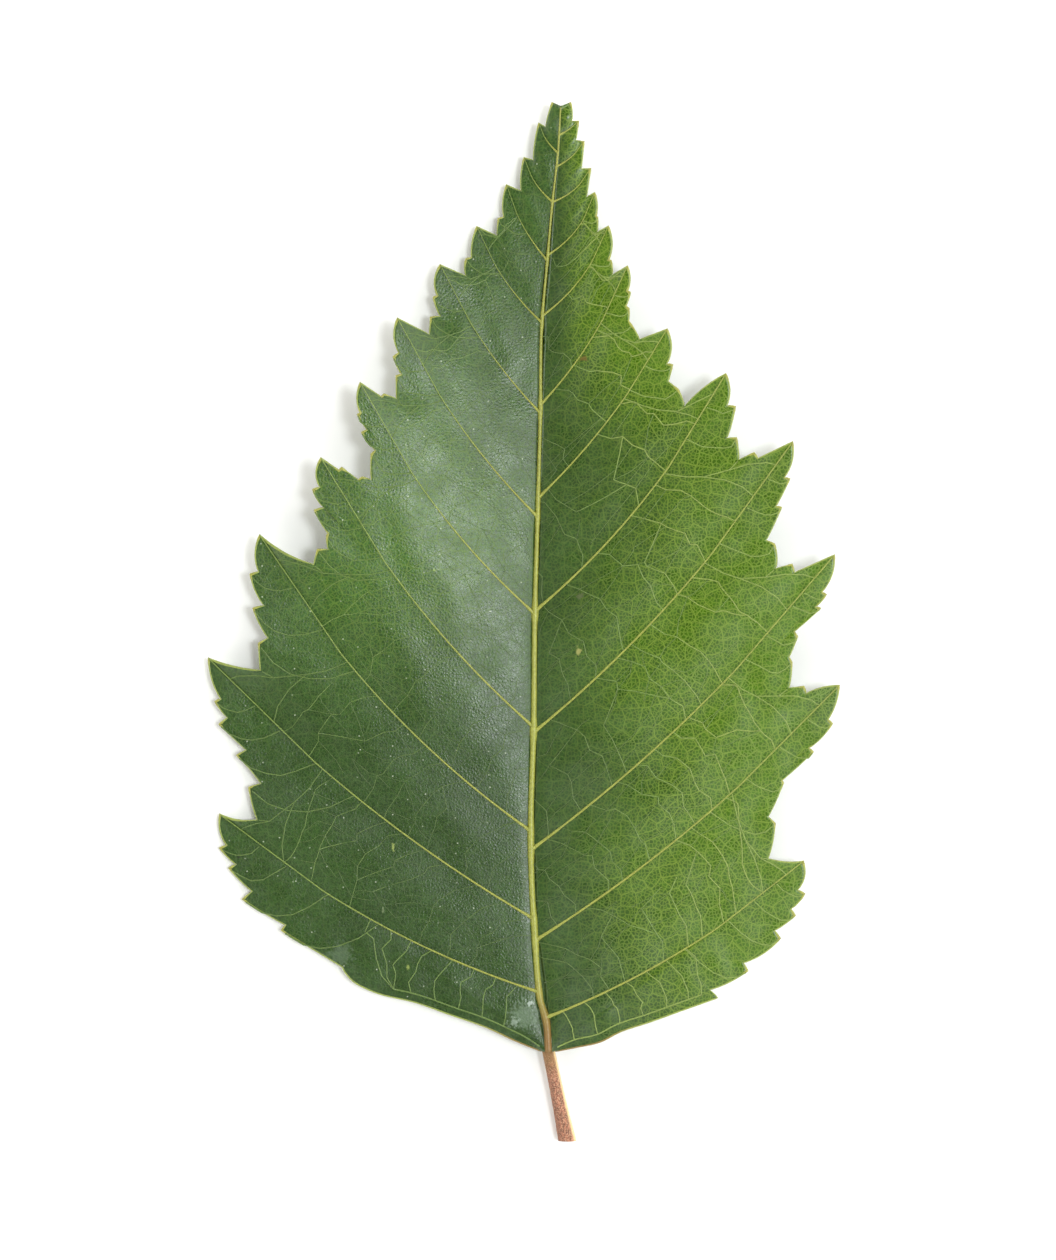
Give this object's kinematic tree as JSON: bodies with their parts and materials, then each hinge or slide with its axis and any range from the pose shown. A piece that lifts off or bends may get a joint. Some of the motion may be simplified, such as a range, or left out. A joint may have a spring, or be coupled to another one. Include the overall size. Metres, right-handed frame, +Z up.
{
  "type": "river birch leaf",
  "caption": "Fresh green birch leaf lying face up: a wedge-based, doubly toothed blade with a midrib and side ribs under it, pillowed between the veins, on a short brown cut stalk.",
  "frame": {"origin": "middle of the leaf's outline in plan, on the surface that it lies on", "axes": "+Y from the stalk to the tip, +X to the right seen from above with the tip away, +Z up out of the upper face"},
  "size_m": [0.0466, 0.0768, 0.0043],
  "materials": {
    "leaf_blade": "satin",
    "leaf_stalk": "matte"
  },
  "bodies": {
    "root": {"leaf_blade": "leaf_blade", "leaf_stalk": "leaf_stalk"}
  },
  "joints": []
}
